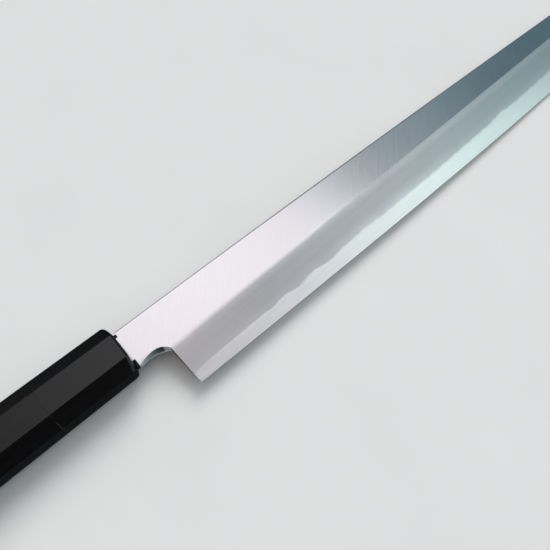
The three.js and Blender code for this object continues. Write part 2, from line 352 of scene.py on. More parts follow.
def iron_ring(s):
    """Points round the soft iron, each with its zone up to the next and its share across that zone."""
    top = BACK + s.thickness
    layer = s.thickness - s.steel
    ease = min(SPINE_EASE, EASE_SHARE * layer, EASE_SHARE * (s.spine - s.ridge))
    ring = [((s.x, s.spine, BACK + s.steel), "spine", 0.0)]
    ring += [(point, "spine", 0.0) for point in corner_arc(s.x, s.spine, top, ease)]
    ring[-1] = (ring[-1][0], "flat", 0.0)
    flat_top = s.spine - ease
    heights = [mix(flat_top, s.ridge + s.border, share) for share in FLAT_SHARES]
    heights += [s.ridge + s.border * share for share in BORDER_SHARES]
    hollow = FLAT_HOLLOW * smooth(s.spine - s.ridge, 0, FLAT_AT_TIP)
    for y in heights:
        share = (flat_top - y) / (flat_top - s.ridge)
        z = top - 4 * hollow * share * (1 - share) - face_drop(s, s.ridge - y)
        ring.append(((mix(s.x, s.ridge_x, share), y, z), "flat", share))
    zone = {"neck": "arch", "heel": "heel", "blade": "bevel"}[s.kind]
    for share in BEVEL_SHARES:
        ring.append((on_face(s, s.thickness - share * layer), zone, share))
    ring[-1] = (ring[-1][0], "weld", 1.0)
    return ring


def tang_ring(x, zone):
    """The tang's section with as many points as the iron's, so that one loft runs through both."""
    share = (SHOULDER_GAP - x) / (SHOULDER_GAP + TANG_LENGTH)
    high = mix(TANG_HEIGHT, TANG_END_HEIGHT, share) / 2
    low = -high - TANG_LOWER * (1 - share)
    out = mix(TANG_THICKNESS, TANG_END_THICKNESS, share) / 2
    ring = [(x, high, -out), *corner_arc(x, high, out, TANG_EASE)]
    face = len(FLAT_SHARES) + len(BORDER_SHARES)
    ring += [(x, mix(high - TANG_EASE, TANG_EASE + low, (i + 1) / (face + 1)), out) for i in range(face)]
    arc = [(x, -y, z) for x, y, z in reversed(corner_arc(x, -low, out, TANG_EASE))]
    wall = len(BEVEL_SHARES) - len(arc)
    drop = arc[-1][2] + out
    ring += arc + [(x, low, arc[-1][2] - drop * (i + 1) / wall) for i in range(wall)]
    return [(point, zone, 0.0) for point in ring]


def steel_ring(s):
    """Points round the edge steel: weld, bevel or arch, cutting edge, rim, hollow, rim and spine."""
    rim = min(RIM_WIDTH, RIM_SHARE * (s.spine - s.edge))
    ease = min(SPINE_EASE, EASE_SHARE * s.steel, EASE_SHARE * rim)
    depth = min(HOLLOW_DEPTH, EASE_SHARE * s.steel) * s.hollow
    low, high = s.edge + rim, s.spine - rim
    zone = {"neck": "arch", "heel": "heel", "blade": "edge"}[s.kind]
    lip_height = min(s.lip * LIP_SLOPE, LIP_STEEL_SHARE * s.steel)
    ring = [((s.x, s.spine, BACK + s.steel), "weld", 0.0)]
    for share in EDGE_SHARES:
        ring.append((on_face(s, mix(s.steel, lip_height, share)), zone, share))
    if s.kind == "neck":
        ring[-1] = (ring[-1][0], "lip", 0.0)
    ring.append((on_face(s, lip_height / 2), "lip" if s.kind == "neck" else zone, 1.0))
    ring.append((on_face(s, 0), "rim", 1.0))
    for i in range(HOLLOW_STEPS + 1):
        share = i / HOLLOW_STEPS
        back = BACK + depth * (1 - (2 * share - 1) ** 2)
        x = mix(s.edge_x, s.x, clamp(share * 2))
        ring.append(((x, mix(low, high, share), back), "hollow", share))
    ring[-1] = (ring[-1][0], "rim", 1.0)
    arc = [(x, y, 2 * BACK - z) for x, y, z in reversed(corner_arc(s.x, s.spine, BACK, ease))]
    ring += [(point, "spine", 0.0) for point in arc]
    return ring


BEAD_SIDES = 20
BEAD_END_SHARE = 0.7  # size of a bead's flat ends, as a share of its middle
BEAD_BLUNT = 4  # how bluntly its ends are rounded, as a power
BEAD_SHARES = (0, 0.03, 0.12, 0.3, 0.5, 0.7, 0.88, 0.97, 1)


def bead_rings(low, high):
    """A dark bead in the gap between the ferrule's domed front and the shoulder, between two heights."""
    front = SHOULDER_GAP - BEAD_GAP
    rings = []
    for share in BEAD_SHARES:
        y = mix(low, high, share)
        back = BEAD_GAP - FRONT_DOME * (2 * y / FRONT_HEIGHT) ** 4
        swell = mix(BEAD_END_SHARE, 1, math.sqrt(1 - (2 * share - 1) ** BEAD_BLUNT)) / 2
        ring = []
        for i in range(BEAD_SIDES):
            turn = 2 * math.pi * i / BEAD_SIDES
            ahead = swell * math.copysign(math.sqrt(abs(math.cos(turn))), math.cos(turn))
            up = swell * math.copysign(math.sqrt(abs(math.sin(turn))), math.sin(turn))
            point = (mix(back, front, 0.5 + ahead), y, mix(BEAD_BOTTOM, BEAD_TOP, 0.5 + up))
            ring.append((point, "bead", 0.0))
        rings.append(ring)
    return rings


SHARP_ANGLE = math.radians(28)
SLIVER = 0.001  # faces narrower than this, left by a cut, are closed up


def finish_mesh(mesh):
    """No slivers, outward faces, and smooth shading with the crisp corners kept."""
    work = bmesh.new()
    work.from_mesh(mesh)
    bmesh.ops.dissolve_degenerate(work, dist=SLIVER * MM, edges=work.edges)
    bmesh.ops.recalc_face_normals(work, faces=work.faces)
    work.to_mesh(mesh)
    work.free()
    mesh.polygons.foreach_set("use_smooth", [True] * len(mesh.polygons))
    mesh.set_sharp_from_angle(angle=SHARP_ANGLE)


def loft(name, rings, finishes):
    """A closed solid through rings of points along X. finishes gives each zone's material."""
    sides = len(rings[0])
    points = [in_row_frame(point) for ring in rings for point, zone, share in ring]
    materials = list(dict.fromkeys(finishes.values()))
    faces, slots = [], []
    for r, ahead in enumerate(rings[1:]):
        for i in range(sides):
            after = (i + 1) % sides
            a, b = r * sides + i, r * sides + after
            faces.append((a, b, b + sides, a + sides))
            slots.append(materials.index(finishes[ahead[i][1]]))
    last = (len(rings) - 1) * sides
    faces += [tuple(reversed(range(sides))), tuple(range(last, last + sides))]
    slots += [slots[0], slots[-1]]
    mesh = bpy.data.meshes.new(name)
    mesh.from_pydata(points, [], faces)
    for material in materials:
        mesh.materials.append(material)
    mesh.polygons.foreach_set("material_index", slots)
    across = mesh.attributes.new("across", "FLOAT", "POINT")
    across.data.foreach_set("value", [share for ring in rings for point, zone, share in ring])
    finish_mesh(mesh)
    made = bpy.data.objects.new(name, mesh)
    bpy.context.scene.collection.objects.link(made)
    return made


# Materials


def linear(colour):
    """Linear colour of an sRGB hex value."""
    channels = [int(colour[i : i + 2], 16) / 255 for i in (1, 3, 5)]
    return (*[c / 12.92 if c <= 0.04045 else ((c + 0.055) / 1.055) ** 2.4 for c in channels], 1.0)


def connect(tree, made, inputs):
    """Sets a node's inputs: a value goes on the socket, and another node or its socket is linked to it."""
    for key, value in inputs.items():
        if isinstance(value, bpy.types.Node):
            value = next(socket for socket in value.outputs if socket.enabled)
        if isinstance(value, bpy.types.NodeSocket):
            tree.links.new(value, made.inputs[key])
        else:
            made.inputs[key].default_value = value


def node(tree, kind, inputs=None, stops=None, **settings):
    """Adds a node with its settings, its ramp's stops and its inputs."""
    made = tree.nodes.new(kind)
    for key, value in settings.items():
        setattr(made, key, value)
    if stops:
        ramp = made.color_ramp
        while len(ramp.elements) < len(stops):
            ramp.elements.new(1.0)
        for element, (place, colour) in zip(ramp.elements, stops):
            element.position = place
            element.color = linear(colour)
    connect(tree, made, inputs or {})
    return made


# Kinds of node. A RANGE has its value at input 0, the range it comes from at 1 and 2, and the range it goes
# to at 3 and 4. A MIX has its share at 0, and two colours at 6 and 7 or two values at 2 and 3.
MATH = "ShaderNodeMath"
VECTOR_MATH = "ShaderNodeVectorMath"
MIX = "ShaderNodeMix"
RANGE = "ShaderNodeMapRange"
RAMP = "ShaderNodeValToRGB"
BUMP = "ShaderNodeBump"
SWITCH = "GeometryNodeSwitch"


def new_material(name, **surface):
    """A material with its Principled shader, whose constant sockets are set by name."""
    material = bpy.data.materials.new(name)
    material.use_nodes = True
    shader = material.node_tree.nodes["Principled BSDF"]
    connect(material.node_tree, shader, {key.replace("_", " "): value for key, value in surface.items()})
    return material, material.node_tree, shader


def streaks(tree, length, width, turn, detail=3.0):
    """Streaks of a real length and width in millimetres, turned from X in degrees: a noise, 0 to 1."""
    place = node(tree, "ShaderNodeTexCoord").outputs["Object"]
    turned = node(tree, "ShaderNodeMapping", {0: place, "Rotation": (0, 0, math.radians(-turn))})
    scale = [1 / (size * MM) for size in (length, width, width)]
    drawn = node(tree, "ShaderNodeMapping", {0: turned, "Scale": scale})
    return node(tree, "ShaderNodeTexNoise", {"Vector": drawn, "Scale": 1.0, "Detail": detail})


def clouds(tree, size, detail=4.0):
    """Soft patches of a real size in millimetres: a noise, 0 to 1."""
    place = node(tree, "ShaderNodeTexCoord").outputs["Object"]
    return node(tree, "ShaderNodeTexNoise", {"Vector": place, "Scale": 1 / (size * MM), "Detail": detail})


def along_knife(tree, start, end, most=1.0):
    """A share that goes from 0 at one X of the knife's frame to its most at another, in millimetres."""
    place = node(tree, "ShaderNodeTexCoord").outputs["Object"]
    spot = node(tree, "ShaderNodeSeparateXYZ", {0: place})
    first, last = [in_row_frame((x, 0, 0)).x for x in (start, end)]
    return node(tree, RANGE, {0: spot, 1: first, 2: last, 4: most})


def finish_surface(tree, shader, tone, grain, rough, relief=None, reach=(0.3, 0.7)):
    """Gives a surface its tone, a roughness that follows its grain, and a relief in millimetres."""
    sheen = node(tree, RANGE, {0: grain, 1: reach[0], 2: reach[1], 3: rough[0], 4: rough[1]})
    connect(tree, shader, {"Base Color": tone, "Roughness": sheen})
    if relief:
        uneven = node(tree, BUMP, {"Height": grain, "Distance": relief * MM})
        connect(tree, shader, {"Normal": uneven})


def satin_iron():
    # Soft iron, ground flat on a fine wheel: bright and mirror-like, with faint slanting grinding lines. Real
    # lines are about 0.05 mm apart, too fine to show, so they are drawn 0.4 mm wide.
    material, tree, shader = new_material("soft_iron_satin_ground", Metallic=1.0)
    lines = streaks(tree, 12, 0.4, 48)
    grey = node(tree, RAMP, {0: lines}, [(0.3, "#d8d7d8"), (0.7, "#dedddf")])
    patches = node(tree, RANGE, {0: clouds(tree, 9), 1: 0.35, 2: 0.65, 4: 0.4})
    tone = node(tree, MIX, {0: patches, 6: grey, 7: linear("#dddadd")}, data_type="RGBA")
    finish_surface(tree, shader, tone, lines, (0.12, 0.16), relief=0.0003)
    return material


def hazy_iron():
    # Soft iron, finished with wet stones: a grey haze that scatters light, with faint stone lines along the
    # blade. The flat's shine rolls over the ridge into it. It is painted paler at the heel, a painted
    # highlight, and cooler towards the tip, a painted reflection of cool light. It is paler near the weld,
    # most between X 120 and 145.
    material, tree, shader = new_material("soft_iron_stone_haze", Metallic=1.0)
    across = node(tree, "ShaderNodeAttribute", attribute_name="across").outputs["Fac"]
    patches = clouds(tree, 7)
    lines = node(tree, RANGE, {0: streaks(tree, 30, 0.9, 2), 1: 0.3, 2: 0.75, 4: 0.45})
    body = node(tree, RAMP, {0: patches}, [(0.3, "#b0afb1"), (0.7, "#b8b7b9")])
    lined = node(tree, MIX, {0: lines, 6: body, 7: linear("#a9a8aa")}, data_type="RGBA")
    # Painted reflection: cooler towards the tip, for the cool light the bevel mirrors there
    near_tip = along_knife(tree, 140, 230, 0.4)
    tip = node(tree, MIX, {0: near_tip, 6: lined, 7: linear("#97aeac")}, data_type="RGBA")
    # Painted highlight: paler towards the heel, where the bevel mirrors more light
    near_heel = along_knife(tree, 60, 15, 0.55)
    heel = node(tree, MIX, {0: near_heel, 6: tip, 7: linear("#d4d1d3")}, data_type="RGBA")
    # Paler near the weld, more so over part of the blade
    near_weld = node(tree, RANGE, {0: across, 1: 0.6, 2: 1.05}, interpolation_type="SMOOTHSTEP")
    middle = node(tree, RANGE, {0: along_knife(tree, 85, 120), 3: 0.25, 4: 0.5})
    strength = node(tree, MATH, {0: middle, 1: along_knife(tree, 145, 185, 0.3)}, operation="SUBTRACT")
    pale_by_weld = node(tree, MATH, {0: near_weld, 1: strength}, operation="MULTIPLY")
    pale = node(tree, MIX, {0: pale_by_weld, 6: heel, 7: linear("#dedfe0")}, data_type="RGBA")
    weld = node(tree, RANGE, {0: across, 1: 0.965, 2: 1.0, 4: 0.5})
    welded = node(tree, MIX, {0: weld, 6: pale, 7: linear("#dfe0e0")}, data_type="RGBA")
    ragged = node(tree, MATH, {0: patches, 1: 0.05, 2: across}, operation="MULTIPLY_ADD")
    rolled = node(tree, RANGE, {0: ragged, 1: 0.04, 2: 0.3, 3: 0.5, 4: 0.0})
    worn = node(tree, MIX, {0: rolled, 6: welded, 7: linear("#d8d7d9")}, data_type="RGBA")
    border = node(tree, RANGE, {0: ragged, 1: 0.01, 2: 0.14, 3: 1.0, 4: 0.0}, interpolation_type="SMOOTHSTEP")
    shine = node(tree, MATH, {0: border, 1: along_knife(tree, 130, 80)}, operation="MULTIPLY")
    tone = node(tree, MIX, {0: shine, 6: worn, 7: linear("#dbdadc")}, data_type="RGBA")
    haze = node(tree, RANGE, {0: patches, 1: 0.3, 2: 0.7, 3: 0.35, 4: 0.41})
    rough = node(tree, MIX, {0: shine, 2: haze, 3: 0.16}, data_type="FLOAT")
    relief = node(tree, BUMP, {"Height": lines, "Distance": 0.0008 * MM})
    connect(tree, shader, {"Base Color": tone, "Roughness": rough, "Normal": relief})
    return material


def bright_steel():
    # Hard carbon steel, finished on a fine stone: pale and bright, with the haze ending softly at its border.
    # Towards the tip it is a trace greener, a painted reflection of cool light.
    material, tree, shader = new_material("carbon_steel_stone_polish", Metallic=1.0)
    across = node(tree, "ShaderNodeAttribute", attribute_name="across").outputs["Fac"]
    lines = streaks(tree, 24, 0.7, 2)
    body = node(tree, RAMP, {0: clouds(tree, 5)}, [(0.3, "#dcdddd"), (0.7, "#e2e3e2")])
    faint = node(tree, RANGE, {0: lines, 1: 0.35, 2: 0.75, 4: 0.7})
    lined = node(tree, MIX, {0: faint, 6: body, 7: linear("#d6d7d7")}, data_type="RGBA")
    # Painted reflection: a trace greener towards the tip
    near_tip = along_knife(tree, 90, 125, 0.5)
    tip = node(tree, MIX, {0: near_tip, 6: lined, 7: linear("#e2e4dd")}, data_type="RGBA")
    border = node(tree, RANGE, {0: across, 1: 0.0, 2: 0.1, 3: 0.5, 4: 0.0})
    tone = node(tree, MIX, {0: border, 6: tip, 7: linear("#c4c4c5")}, data_type="RGBA")
    finish_surface(tree, shader, tone, lines, (0.28, 0.34), relief=0.0005)
    return material


def polished_iron():
    # Iron polished round with cloth and grit on the spine: darker and smoother than the ground flat.
    material, tree, shader = new_material("soft_iron_buffed", Metallic=1.0)
    lines = streaks(tree, 6, 0.25, 0)
    tone = node(tree, RAMP, {0: lines}, [(0.3, "#a9b0b2"), (0.7, "#bcc2c4")])
    finish_surface(tree, shader, tone, lines, (0.2, 0.28))
    return material


# Where the arch turns from its painted shade to a painted highlight and grows rougher, from one X to another
PAINTED_LIGHT_SHOULDER = (ARCH_REACH + 4, STEEL_BEGIN)
PAINTED_LIGHT_HEEL = (HEEL_TOP - 2.6, HEEL_TOP - 1.7)


def arch_iron():
    # Iron hollowed with a round file, with file lines along the arch: painted a dull blue-grey, a painted
    # shade for the shaded floor that the hollow mirrors. Towards the shoulder and the heel it is rougher and
    # less metallic, and painted pale there, a painted highlight.
    material, tree, shader = new_material("soft_iron_round_filed")
    lines = streaks(tree, 5, 0.3, 0)
    # Painted shade: the dark blue-grey of the hollowed wall
    dark = node(tree, RAMP, {0: lines}, [(0.3, "#3b4c53"), (0.7, "#4c5e65")])
    behind = along_knife(tree, *PAINTED_LIGHT_SHOULDER)
    ahead = along_knife(tree, *PAINTED_LIGHT_HEEL)
    # Painted highlight: pale towards the shoulder and the heel
    highlit_and_rough = node(tree, MATH, {0: behind, 1: ahead}, operation="MAXIMUM")
    tone = node(tree, MIX, {0: highlit_and_rough, 6: dark, 7: linear("#d6dcde")}, data_type="RGBA")
    filed = node(tree, RANGE, {0: lines, 1: 0.3, 2: 0.7, 3: 0.27, 4: 0.34})
    rough = node(tree, MIX, {0: highlit_and_rough, 2: filed, 3: 0.65}, data_type="FLOAT")
    bare = node(tree, RANGE, {0: highlit_and_rough, 3: 0.45, 4: 0.15})
    connect(tree, shader, {"Base Color": tone, "Roughness": rough, "Metallic": bare})
    return material


def lip_steel():
    # Hard steel at the arch's foot, touched by the same file: a dull blue-grey line, painted paler towards
    # the heel, a painted highlight.
    material, tree, shader = new_material("carbon_steel_round_filed", Metallic=1.0)
    lines = streaks(tree, 5, 0.3, 0)
    # Painted highlight: paler towards the heel
    near_heel = along_knife(tree, STEEL_BEGIN, HEEL_TOP)
    grey = node(tree, MIX, {0: near_heel, 6: linear("#5b6b6e"), 7: linear("#b3c4c6")}, data_type="RGBA")
    faint = node(tree, RANGE, {0: lines, 1: 0.3, 2: 0.7, 4: 0.2})
    tone = node(tree, MIX, {0: faint, 6: grey, 7: linear("#6b7b7e")}, data_type="RGBA")
    finish_surface(tree, shader, tone, lines, (0.27, 0.34))
    return material


def forged_iron():
    # Forged iron, left as it was filed: duller, with short file marks across.
    material, tree, shader = new_material("soft_iron_filed", Metallic=1.0)
    marks = streaks(tree, 5, 0.4, 70)
    tone = node(tree, RAMP, {0: marks}, [(0.3, "#c4c3c4"), (0.7, "#d6d5d6")])
    finish_surface(tree, shader, tone, marks, (0.25, 0.36))
    return material


def hollow_steel():
    # Hard steel, hollowed on a wheel: fine lines square to the blade, drawn coarser than the real 0.05 mm.
    material, tree, shader = new_material("carbon_steel_hollow_ground", Metallic=1.0)
    lines = streaks(tree, 18, 0.45, 82)
    tone = node(tree, RAMP, {0: lines}, [(0.3, "#b9bbbc"), (0.7, "#cdcfd0")])
    finish_surface(tree, shader, tone, lines, (0.24, 0.34), relief=0.001)
    return material


def black_horn():
    # Buffalo horn, sanded and buffed: near black with faint brown-grey fibres along it, and a satin gloss.
    # Faint pale patches on the horn by the seam behind it: pale glue in the joint, and its glint, a painted
    # highlight.
    material, tree, shader = new_material("buffalo_horn_satin", IOR=1.52)
    fibres = streaks(tree, 16, 0.5, 0)
    horn = node(tree, RAMP, {0: fibres}, [(0.45, "#030303"), (0.8, "#0d0c0b")])
    patches = node(tree, RANGE, {0: clouds(tree, 6), 1: 0.5, 2: 0.6, 4: 0.5})
    seam = along_knife(tree, SEAM_GLUE_AND_GLINT - FERRULE_LENGTH, -FERRULE_LENGTH)
    # Pale glue by the seam, partly a painted highlight of the joint's glint
    glue_and_glint = node(tree, MATH, {0: seam, 1: patches}, operation="MULTIPLY")
    tone = node(tree, MIX, {0: glue_and_glint, 6: horn, 7: linear("#77736f")}, data_type="RGBA")
    finish_surface(tree, shader, tone, fibres, (0.27, 0.32), relief=0.0015)
    return material


def black_wood():
    # Ebony, sanded and oiled: black-brown with fine pores along the grain, as glossy as the horn.
    material, tree, shader = new_material("ebony_oiled", IOR=1.5)
    pores = streaks(tree, 5, 0.18, 0)
    grain = node(tree, RAMP, {0: streaks(tree, 60, 2.5, 0)}, [(0.35, "#030303"), (0.7, "#0a0908")])
    dark = node(tree, RANGE, {0: pores, 1: 0.62, 2: 0.75, 4: 0.8})
    tone = node(tree, MIX, {0: dark, 6: grain, 7: linear("#030303")}, data_type="RGBA")
    finish_surface(tree, shader, tone, pores, (0.27, 0.32), relief=0.0006, reach=(0.4, 0.7))
    return material


def dark_resin():
    # Resin poured into the mouth: almost black, dull, a little uneven.
    material, tree, shader = new_material("dark_resin_poured", IOR=1.5)
    patches = clouds(tree, 1.5)
    tone = node(tree, RAMP, {0: patches}, [(0.35, "#080706"), (0.65, "#120f0d")])
    finish_surface(tree, shader, tone, patches, (0.5, 0.65), reach=(0.35, 0.65))
    return material


def pale_wood():
    # Magnolia dowel, turned and bare: straw-coloured, with fine grain along it.
    material, tree, shader = new_material("magnolia_turned", IOR=1.5)
    grain = streaks(tree, 30, 0.8, 0)
    tone = node(tree, RAMP, {0: grain}, [(0.3, "#c7ad82"), (0.7, "#b0935f")])
    finish_surface(tree, shader, tone, grain, (0.7, 0.85))
    return material


def painted_board():
    # Painted board: a matt, pale, faintly mottled grey. To the knife's gloss it glows, a painted reflection:
    # a plain dark grey, a painted shade so that the black handle and the hollowed arch keep their depth, but
    # paler under the blade, a painted light so that the hollow of its back shows. From beneath it is clear.
    material, tree, shader = new_material("board_painted_matt", Roughness=0.85)
    tone = node(tree, RAMP, {0: clouds(tree, 60)}, [(0.3, "#e9e8e6"), (0.7, "#edecea")])
    connect(tree, shader, {"Base Color": tone})
    gloss = node(tree, "ShaderNodeLightPath").outputs["Is Glossy Ray"]
    place = node(tree, "ShaderNodeTexCoord").outputs["Object"]
    spot = node(tree, "ShaderNodeSeparateXYZ", {0: place}).outputs
    spine_side, edge_side = [in_row_frame((0, y, 0)).y for y in (SPINE_AT_NECK, 0)]
    inward = node(tree, RANGE, {0: spot[1], 1: spine_side, 2: edge_side})
    ahead = along_knife(tree, HEEL_REACH, HEEL_REACH + HOLLOW_RUN)
    under = node(tree, MATH, {0: inward, 1: ahead}, operation="MULTIPLY")
    # Painted reflection for glossy rays: dark grey, a painted shade, paler under the blade, a painted light
    grey = node(tree, MIX, {0: under, 6: linear("#303435"), 7: linear("#9a9e9f")}, data_type="RGBA")
    painted_reflection = node(tree, "ShaderNodeEmission", {"Color": grey, "Strength": 1.0})
    above = node(tree, "ShaderNodeMixShader", {0: gloss, 1: shader, 2: painted_reflection})
    beneath = node(tree, "ShaderNodeNewGeometry").outputs["Backfacing"]
    clear = node(tree, "ShaderNodeBsdfTransparent")
    sheet = node(tree, "ShaderNodeMixShader", {0: beneath, 1: above, 2: clear})
    connect(tree, tree.nodes["Material Output"], {"Surface": sheet})
    material.cycles.emission_sampling = "NONE"
    return material


# Handle and ferrule: an octagon that grows towards the butt, with rounded ends, cut by its bore and mouth.
HANDLE_INPUTS = {
    "NodeSocketFloat": (
        "Back", "Front", "Back round", "Front round", "Front dome", "Half height", "Half thickness",
        "Half side facet", "Half edge facet", "Growth per metre", "Axis front", "Arris radius", "Bore radius",
        "Bore length",
    ),
    "NodeSocketVector": ("Bore middle", "Mouth middle", "Mouth size", "Axis place"),
    "NodeSocketMaterial": ("Material",),
}
ROUND_STEPS = 6
RIM_HOLD = 0.4  # a ring this far behind each rounded rim keeps the facets flat
RIM_SLACK = 1.01  # so that this ring moves with the front rim
FACE_STEPS = 5
FACE_LIFT = 0.001  # keeps the rings of the front face apart along the axis
ARRIS_STEPS = 4
BORE_SIDES = 48
FACET_WEIGHT = 100  # the larger faces lead the shading


def octagon_tree():
    tree = bpy.data.node_groups.new("octagon_along_the_axis", "GeometryNodeTree")
    tree.interface.new_socket("Geometry", in_out="OUTPUT", socket_type="NodeSocketGeometry")
    for kind, names in HANDLE_INPUTS.items():
        for name in names:
            tree.interface.new_socket(name, in_out="INPUT", socket_type=kind)
    size = node(tree, "NodeGroupInput").outputs
    position = node(tree, "GeometryNodeInputPosition")

    # Section: the corners of an even octagon, moved to this handle's facet widths, with sanded arrises
    circle = node(tree, "GeometryNodeCurvePrimitiveCircle", {"Resolution": 8, "Radius": 1.0})
    turned = node(tree, "GeometryNodeTransform", {0: circle, "Rotation": (0, 0, math.pi / 8)})
    distance = node(tree, VECTOR_MATH, {0: position}, operation="ABSOLUTE")
    apart = node(tree, "ShaderNodeSeparateXYZ", {0: distance}).outputs
    on_edge = node(tree, MATH, {0: apart[0], 1: apart[1]}, operation="GREATER_THAN")
    side_corner = node(tree, "ShaderNodeCombineXYZ", {0: size["Half side facet"], 1: size["Half thickness"]})
    edge_corner = node(tree, "ShaderNodeCombineXYZ", {0: size["Half height"], 1: size["Half edge facet"]})
    choices = {"Switch": on_edge, "False": side_corner, "True": edge_corner}
    corner = node(tree, SWITCH, choices, input_type="VECTOR")
    quarter = node(tree, VECTOR_MATH, {0: position}, operation="SIGN")
    moved = node(tree, VECTOR_MATH, {0: quarter, 1: corner}, operation="MULTIPLY")
    octagon = node(tree, "GeometryNodeSetPosition", {0: turned, "Position": moved})
    easing = {0: octagon, "Count": ARRIS_STEPS, "Radius": size["Arris radius"], "Limit Radius": True}
    section = node(tree, "GeometryNodeFilletCurve", easing, mode="POLY")

    # Axis: close rings over the round at either end and one behind each, then rings inside the front face
    count = 2 * (ROUND_STEPS + 2)
    place = node(tree, "GeometryNodeInputIndex")
    index = node(tree, MATH, {0: place, 1: count - 1}, operation="MINIMUM")
    inside = node(tree, MATH, {0: place, 1: index}, operation="SUBTRACT")
    in_front = node(tree, MATH, {0: index, 1: count / 2 - 0.5}, operation="GREATER_THAN")
    from_front = node(tree, MATH, {0: count - 1, 1: index}, operation="SUBTRACT")
    step, rounding, end, inward = [
        node(tree, SWITCH, {"Switch": in_front, "False": back, "True": front}, input_type="FLOAT")
        for back, front in (
            (index, from_front),
            (size["Back round"], size["Front round"]),
            (size["Back"], size["Front"]),
            (1.0, -1.0),
        )
    ]
    round_step = node(tree, MATH, {0: step, 1: ROUND_STEPS}, operation="MINIMUM")
    held_step = node(tree, MATH, {0: step, 1: round_step}, operation="SUBTRACT")
    turn = node(tree, MATH, {0: round_step, 1: math.pi / 2 / ROUND_STEPS}, operation="MULTIPLY")
    cosine = node(tree, MATH, {0: turn}, operation="COSINE")
    sine = node(tree, MATH, {0: turn}, operation="SINE")
    risen = node(tree, MATH, {0: 1.0, 1: cosine}, operation="SUBTRACT")
    sunk = node(tree, MATH, {0: 1.0, 1: sine}, operation="SUBTRACT")
    held = node(tree, MATH, {0: held_step, 1: RIM_HOLD * MM}, operation="MULTIPLY")
    along = node(tree, MATH, {0: rounding, 1: risen, 2: held}, operation="MULTIPLY_ADD")
    inset = node(tree, MATH, {0: rounding, 1: sunk}, operation="MULTIPLY")
    rim_x = node(tree, MATH, {0: along, 1: inward, 2: end}, operation="MULTIPLY_ADD")
    x = node(tree, MATH, {0: inside, 1: FACE_LIFT * MM, 2: rim_x}, operation="MULTIPLY_ADD")
    behind = node(tree, MATH, {0: size["Axis front"], 1: x}, operation="SUBTRACT")
    grown = node(tree, MATH, {0: behind, 1: size["Growth per metre"], 2: 1.0}, operation="MULTIPLY_ADD")
    lost = node(tree, MATH, {0: inset, 1: size["Half thickness"]}, operation="DIVIDE")
    rim_scale = node(tree, MATH, {0: grown, 1: lost}, operation="SUBTRACT")
    shrink = node(tree, MATH, {0: inside, 1: -1 / (FACE_STEPS + 1), 2: 1.0}, operation="MULTIPLY_ADD")
    scale = node(tree, MATH, {0: rim_scale, 1: shrink}, operation="MULTIPLY")
    axis_place = node(tree, "ShaderNodeSeparateXYZ", {0: size["Axis place"]}).outputs
    spot = node(tree, "ShaderNodeCombineXYZ", {0: x, 1: axis_place[1], 2: axis_place[2]})
    rail = node(tree, "GeometryNodeMeshLine", {"Count": count + FACE_STEPS, "Offset": (1, 0, 0)})
    stored = {0: rail, "Name": "octagon_scale", "Value": scale}
    named = node(tree, "GeometryNodeStoreNamedAttribute", stored, data_type="FLOAT", domain="POINT")
    placed = node(tree, "GeometryNodeSetPosition", {0: named, "Position": spot})
    curve = node(tree, "GeometryNodeMeshToCurve", {0: placed})
    axis = node(tree, "GeometryNodeSetCurveNormal", {0: curve}, mode="Z_UP")
    grow = node(tree, "GeometryNodeInputNamedAttribute", {"Name": "octagon_scale"}, data_type="FLOAT")
    body = node(tree, "GeometryNodeCurveToMesh", {0: axis, 1: section, "Scale": grow, "Fill Caps": True})

    # Front face, domed from the spine side to the edge side
    here = node(tree, "ShaderNodeSeparateXYZ", {0: position}).outputs
    depth = node(tree, MATH, {0: size["Front round"], 1: RIM_SLACK * RIM_HOLD * MM}, operation="ADD")
    rim_start = node(tree, MATH, {0: size["Front"], 1: depth}, operation="SUBTRACT")
    on_rim = node(tree, MATH, {0: here[0], 1: rim_start}, operation="GREATER_THAN")
    off_axis = node(tree, MATH, {0: here[1], 1: axis_place[1]}, operation="SUBTRACT")
    share = node(tree, MATH, {0: off_axis, 1: size["Half height"]}, operation="DIVIDE")
    squared = node(tree, MATH, {0: share, 1: share}, operation="MULTIPLY")
    fourth = node(tree, MATH, {0: squared, 1: squared}, operation="MULTIPLY")
    dome = node(tree, MATH, {0: size["Front dome"], 1: -1.0}, operation="MULTIPLY")
    fall = node(tree, MATH, {0: fourth, 1: dome}, operation="MULTIPLY")
    shift = node(tree, "ShaderNodeCombineXYZ", {0: fall})
    domed = node(tree, "GeometryNodeSetPosition", {0: body, "Selection": on_rim, "Offset": shift})

    # Bore for the dowel, and the mouth for the tang, cut through plane faces only
    plane = node(tree, "GeometryNodeTriangulate", {0: domed})
    sizes = {"Vertices": BORE_SIDES, "Radius": size["Bore radius"], "Depth": size["Bore length"]}
    drill = node(tree, "GeometryNodeMeshCylinder", sizes)
    level = {0: drill, "Translation": size["Bore middle"], "Rotation": (0, math.pi / 2, 0)}
    bore = node(tree, "GeometryNodeTransform", level)
    block = node(tree, "GeometryNodeMeshCube", {"Size": size["Mouth size"]})
    mouth = node(tree, "GeometryNodeTransform", {0: block, "Translation": size["Mouth middle"]})
    cut = {"operation": "DIFFERENCE", "solver": "EXACT"}
    bored = node(tree, "GeometryNodeMeshBoolean", {"Mesh 1": plane, "Mesh 2": bore}, **cut)
    opened = node(tree, "GeometryNodeMeshBoolean", {"Mesh 1": bored, "Mesh 2": mouth}, **cut)
    whole = node(tree, "GeometryNodeRealizeInstances", {0: opened})
    dressed = node(tree, "GeometryNodeSetMaterial", {0: whole, "Material": size["Material"]})
    node(tree, "NodeGroupOutput", {0: dressed})
    return tree


def apply_modifiers(piece):
    """Turns a piece and its modifiers into one plain mesh."""
    piece.update_tag()
    evaluated = piece.evaluated_get(bpy.context.evaluated_depsgraph_get())
    piece.data = bpy.data.meshes.new_from_object(evaluated)
    piece.data.name = piece.name
    piece.modifiers.clear()


